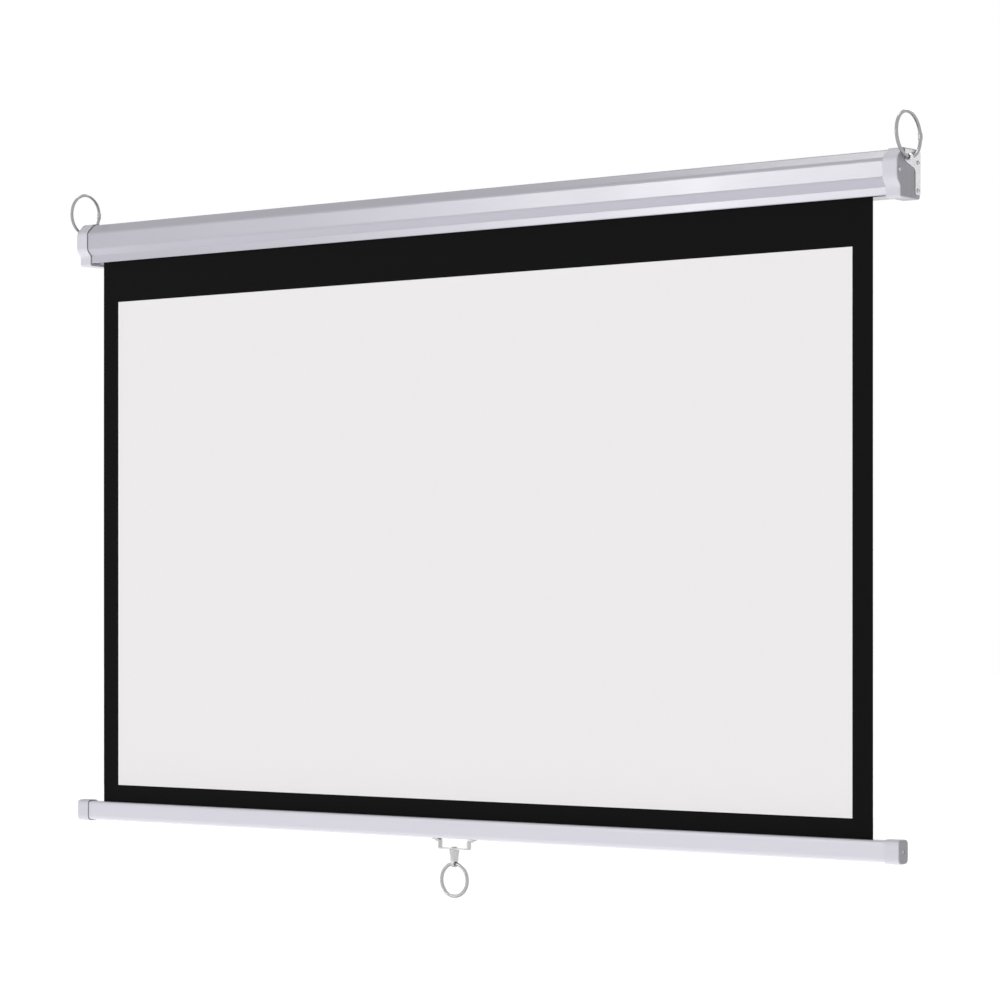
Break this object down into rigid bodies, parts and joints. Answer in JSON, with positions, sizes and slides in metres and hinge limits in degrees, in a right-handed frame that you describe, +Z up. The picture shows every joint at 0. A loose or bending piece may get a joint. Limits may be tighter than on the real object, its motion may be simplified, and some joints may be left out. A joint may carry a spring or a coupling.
{
  "type": "pull-down projection screen",
  "caption": "Hanging projection screen: slim case with rings and spring roller, masked white sheet, weight bar and a pull handle.",
  "frame": {"origin": "middle of the case's flat back face, at half its length and half its height", "axes": "+X along the case's length, +Y out of the case's back toward the wall, +Z up"},
  "size_m": [2.0986, 0.0922, 1.4845],
  "materials": {
    "case_paint": "white powder coat, satin",
    "cap_plastic": "off-white moulded plastic",
    "bar_paint": "white powder coat, satin",
    "hanger_steel": "bright zinc plate",
    "ring_steel": "nickel plated wire",
    "screw_steel": "zinc plated",
    "roller_alloy": "drawn, bare",
    "shaft_steel": "oiled",
    "plug_nylon": "natural nylon",
    "mask_black": "matt black coated cloth",
    "picture_white": "matt white projection surface",
    "handle_steel": "satin nickel"
  },
  "bodies": {
    "housing": {"case_shell": "case_paint", "end_cap_right": "cap_plastic", "end_cap_left": "cap_plastic", "hanger_right": "hanger_steel", "hanger_left": "hanger_steel", "hanger_screw_upper_right": "screw_steel", "hanger_screw_lower_right": "screw_steel", "hanger_screw_upper_left": "screw_steel", "hanger_screw_lower_left": "screw_steel", "cap_screw_right": "screw_steel", "cap_screw_left": "screw_steel", "idle_pin": "shaft_steel", "spring_shaft": "shaft_steel", "lock_core": "shaft_steel", "torsion_spring": "shaft_steel", "spring_collar": "shaft_steel", "sheet_backing": "mask_black", "picture_face": "picture_white"},
    "roller": {"roller_tube": "roller_alloy", "fixing_rod": "plug_nylon", "sheet_turns": "mask_black", "spring_end_plug": "plug_nylon", "idle_end_plug": "plug_nylon", "idle_bush": "plug_nylon", "inner_bearing": "plug_nylon", "lock_ball_1": "shaft_steel", "lock_ball_2": "shaft_steel"},
    "bar": {"weight_bar": "bar_paint", "bar_cap_right": "cap_plastic", "bar_cap_left": "cap_plastic", "bar_cap_screw_right": "screw_steel", "bar_cap_screw_left": "screw_steel", "hem_rod": "plug_nylon", "pull_bail": "handle_steel", "bail_screw_right": "screw_steel", "bail_screw_left": "screw_steel"},
    "neck": {"handle_neck": "handle_steel"},
    "pull_loop": {"pull_ring": "handle_steel"},
    "ring_right": {"hanging_ring_right": "ring_steel"},
    "ring_left": {"hanging_ring_left": "ring_steel"}
  },
  "joints": [
    {"name": "screen_pull", "type": "slide", "parent": "housing", "child": "bar", "axis": [0, 0, 1], "range_m": [0, 1.1627], "deforming": ["sheet_backing", "picture_face"]},
    {"name": "roller_spin", "type": "hinge", "parent": "housing", "child": "roller", "pos_m": [0, -0.03815, 0], "axis": [1, 0, 0], "range_deg": [-3030, 0]},
    {"name": "neck_turn", "type": "hinge", "parent": "bar", "child": "neck", "pos_m": [0, -0.05883, -1.2743], "axis": [0, 0, 1], "continuous": true},
    {"name": "pull_ring_swing", "type": "hinge", "parent": "neck", "child": "pull_loop", "pos_m": [0, -0.05883, -1.3029], "axis": [1, 0, 0], "range_deg": [-90, 90]},
    {"name": "ring_right_swing", "type": "hinge", "parent": "housing", "child": "ring_right", "pos_m": [1.04335, -0.047, 0.026], "axis": [0, 1, 0], "range_deg": [0, 180]},
    {"name": "ring_left_swing", "type": "hinge", "parent": "housing", "child": "ring_left", "pos_m": [-1.04335, -0.047, 0.026], "axis": [0, -1, 0], "range_deg": [0, 180]}
  ],
  "couplings": [
    {"joint": "roller_spin", "follows": "screen_pull", "rad_per_m": -45.37}
  ]
}
